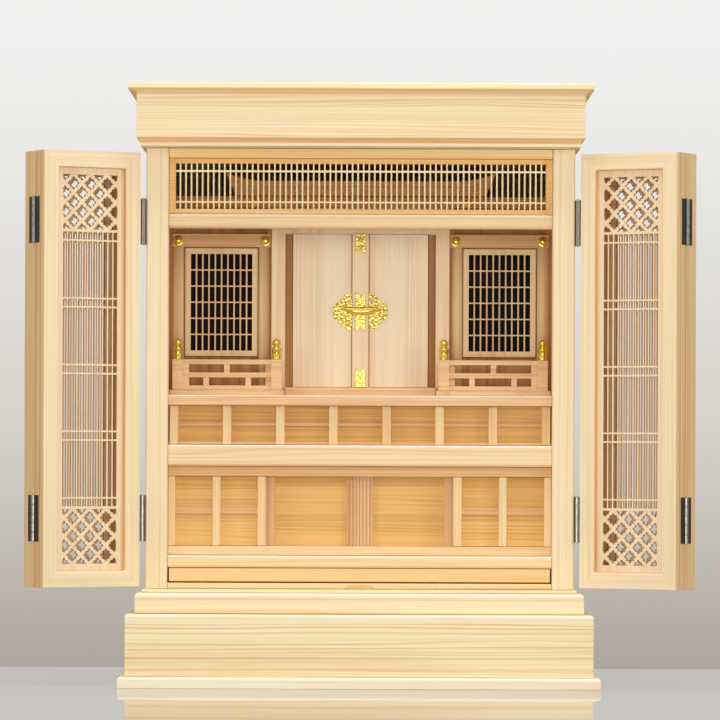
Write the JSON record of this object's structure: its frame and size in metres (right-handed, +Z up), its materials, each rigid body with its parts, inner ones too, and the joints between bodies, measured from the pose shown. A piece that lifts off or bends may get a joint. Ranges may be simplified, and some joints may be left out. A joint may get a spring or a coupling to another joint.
{
  "type": "household altar cabinet",
  "caption": "Table-top altar cabinet of planed wood: moulded crown and base, folding lattice doors, inner shrine, lattice side shrines, railings, cupboard and pull-out offering tray.",
  "frame": {"origin": "middle of the foot board's underside, half way between the sides and in line with the cabinet's body", "axes": "+Z up, +X to the right of someone facing the open doors, -Y towards them"},
  "size_m": [0.6694, 0.354, 0.6008],
  "materials": {
    "wood": "planed, unfinished pale cypress",
    "panel_wood": "planed, deeper golden cypress",
    "shrine_wood": "planed, pinkish cypress",
    "brass": "polished gilt brass",
    "steel": "satin dark nickel"
  },
  "bodies": {
    "cabinet": {"foot_board": "wood", "plinth": "wood", "base_moulding": "wood", "base_fillet": "wood", "bottom_board": "wood", "left_front_stile": "wood", "right_front_stile": "wood", "left_rear_post": "wood", "right_rear_post": "wood", "left_side_panel": "wood", "right_side_panel": "wood", "back_panel": "wood", "top_rail": "wood", "ceiling_board": "wood", "transom_lattice": "wood", "lintel_rail": "wood", "crown_frieze": "wood", "crown_slab": "wood", "lower_shelf": "wood", "middle_shelf": "wood", "upper_shelf": "wood", "cupboard_sill": "wood", "cupboard_head": "wood", "left_cupboard_frame": "wood", "right_cupboard_frame": "wood", "tier_frame": "wood", "tier_panel": "panel_wood", "left_cupboard_panel": "panel_wood", "right_cupboard_panel": "panel_wood", "centre_shrine": "shrine_wood", "shrine_beam": "shrine_wood", "shrine_roof": "shrine_wood", "left_side_shrine": "shrine_wood", "right_side_shrine": "shrine_wood", "left_shrine_lattice": "shrine_wood", "right_shrine_lattice": "shrine_wood", "left_railing": "shrine_wood", "right_railing": "shrine_wood", "left_inner_finial": "brass", "left_outer_finial": "brass", "right_inner_finial": "brass", "right_outer_finial": "brass", "left_lower_hinge": "steel", "left_upper_hinge": "steel", "right_lower_hinge": "steel", "right_upper_hinge": "steel"},
    "left_inner_leaf": {"left_inner_leaf": "wood", "left_lower_fold_hinge": "steel", "left_upper_fold_hinge": "steel"},
    "right_inner_leaf": {"right_inner_leaf": "wood", "right_lower_fold_hinge": "steel", "right_upper_fold_hinge": "steel"},
    "left_outer_leaf": {"left_outer_leaf": "wood"},
    "right_outer_leaf": {"right_outer_leaf": "wood"},
    "right_shrine_door": {"right_shrine_door": "shrine_wood", "shrine_door_strip": "shrine_wood"},
    "left_shrine_door": {"left_shrine_door": "shrine_wood"},
    "left_cupboard_door": {"left_cupboard_door": "panel_wood"},
    "right_cupboard_door": {"right_cupboard_door": "panel_wood"},
    "offering_tray": {"offering_tray": "panel_wood"}
  },
  "joints": [
    {"name": "left_door_swing", "type": "hinge", "parent": "cabinet", "child": "left_inner_leaf", "pos_m": [-0.2172, -0.1263, 0.316], "axis": [0, 0, 1], "range_deg": [-29, 151]},
    {"name": "left_door_fold", "type": "hinge", "parent": "left_inner_leaf", "child": "left_outer_leaf", "pos_m": [-0.3242, -0.15954, 0.316], "axis": [0, 0, 1], "range_deg": [0, 180]},
    {"name": "right_door_swing", "type": "hinge", "parent": "cabinet", "child": "right_inner_leaf", "pos_m": [0.2172, -0.1263, 0.316], "axis": [0, 0, -1], "range_deg": [-29, 151]},
    {"name": "right_door_fold", "type": "hinge", "parent": "right_inner_leaf", "child": "right_outer_leaf", "pos_m": [0.3242, -0.15954, 0.316], "axis": [0, 0, -1], "range_deg": [0, 180]},
    {"name": "right_shrine_door_swing", "type": "hinge", "parent": "cabinet", "child": "right_shrine_door", "pos_m": [0.0687, -0.0678, 0.3774], "axis": [0, 0, -1], "range_deg": [-95, 0]},
    {"name": "left_shrine_door_swing", "type": "hinge", "parent": "cabinet", "child": "left_shrine_door", "pos_m": [-0.0687, -0.0678, 0.3774], "axis": [0, 0, 1], "range_deg": [-95, 0]},
    {"name": "left_cupboard_slide", "type": "slide", "parent": "cabinet", "child": "left_cupboard_door", "axis": [1, 0, 0], "range_m": [-0.085, 0]},
    {"name": "right_cupboard_slide", "type": "slide", "parent": "cabinet", "child": "right_cupboard_door", "axis": [-1, 0, 0], "range_m": [-0.085, 0]},
    {"name": "tray_slide", "type": "slide", "parent": "cabinet", "child": "offering_tray", "axis": [0, 1, 0], "range_m": [-0.16, 0]}
  ],
  "couplings": [
    {"joint": "left_shrine_door_swing", "follows": "right_shrine_door_swing", "ratio": 1}
  ]
}
